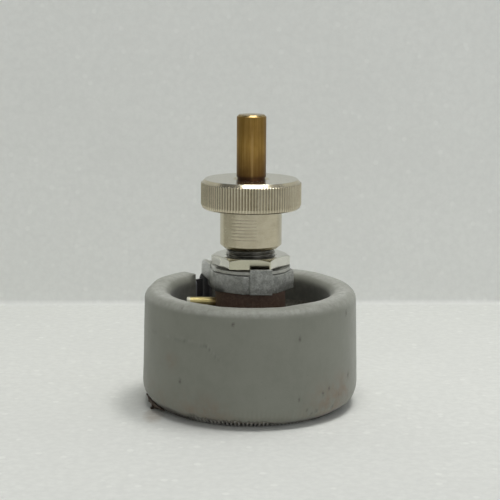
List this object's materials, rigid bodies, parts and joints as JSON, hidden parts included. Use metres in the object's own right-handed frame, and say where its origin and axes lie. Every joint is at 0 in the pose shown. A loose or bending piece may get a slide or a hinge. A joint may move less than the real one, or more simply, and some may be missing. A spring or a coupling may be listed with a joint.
{
  "type": "wirewound potentiometer",
  "caption": "Open-ring wirewound potentiometer: cement-coated resistance ring round a hub, brass shaft turning a carbon brush, panel nut, and a knurled nut that locks the shaft.",
  "frame": {"origin": "on the shaft axis, at the underside of the resistance ring", "axes": "+Z along the shaft towards its free end, -Y towards the viewer of the picture, +X to the right"},
  "size_m": [0.0444, 0.0444, 0.0595],
  "materials": {
    "cement": "matt grey silicone cement, lightly scuffed",
    "winding": "oxidised resistance wire",
    "ceramic": "unglazed steatite",
    "insulator": "black fibre sheet",
    "phenolic": "dark brown phenolic",
    "casting": "dull die casting",
    "bush": "tarnished nickel plate",
    "brass": "turned brass",
    "brass_shaft": "drawn brass, slightly toned",
    "nickel": "nickel-plated brass, knurled",
    "chrome": "bright plate",
    "washer": "dull zinc plate",
    "steel": "spring steel",
    "carbon": "carbon graphite"
  },
  "bodies": {
    "stator": {"cement_coat": "cement", "resistance_winding": "winding", "ceramic_core": "ceramic", "end_insulators": "insulator", "end_terminals": "brass", "terminal_rivets": "brass", "winding_tail": "winding", "base_disc": "phenolic", "cement_bead": "cement", "hub_spacer": "phenolic", "mounting_casting": "casting", "threaded_bush": "bush", "slip_ring": "brass", "slip_ring_rivets": "brass", "wiper_terminal": "brass", "terminal_post": "brass", "stop_post": "steel"},
    "rotor": {"shaft": "brass_shaft", "rotor_hub": "phenolic", "hub_pin": "steel", "brush_holder": "brass", "brush_spring": "steel", "carbon_brush": "carbon", "collector_finger": "brass", "finger_screws": "steel", "spring_washer": "steel", "thrust_washer": "brass", "retaining_clip": "steel"},
    "collet": {"collet_ring": "brass"},
    "lock": {"lock_nut": "nickel"},
    "washer": {"panel_washer": "washer"},
    "hexnut": {"panel_nut": "chrome"}
  },
  "joints": [
    {"name": "shaft_turn", "type": "hinge", "parent": "stator", "child": "rotor", "pos_m": [0, 0, 0.053], "axis": [0, 0, 1], "range_deg": [-150, 150]},
    {"name": "collet_lift", "type": "slide", "parent": "stator", "child": "collet", "axis": [0, 0, 1], "range_m": [0, 0.00075]},
    {"name": "lock_nut_turn", "type": "hinge", "parent": "collet", "child": "lock", "pos_m": [0, 0, 0.043], "axis": [0, 0, 1], "range_deg": [0, 360]},
    {"name": "washer_lift", "type": "slide", "parent": "stator", "child": "washer", "axis": [0, 0, 1], "range_m": [0, 0.00075]},
    {"name": "panel_nut_turn", "type": "hinge", "parent": "washer", "child": "hexnut", "pos_m": [0, 0, 0.03], "axis": [0, 0, 1], "range_deg": [0, 360]}
  ],
  "couplings": [
    {"joint": "lock_nut_turn", "follows": "collet_lift", "rad_per_m": 8377.6},
    {"joint": "panel_nut_turn", "follows": "washer_lift", "rad_per_m": 8377.6}
  ]
}
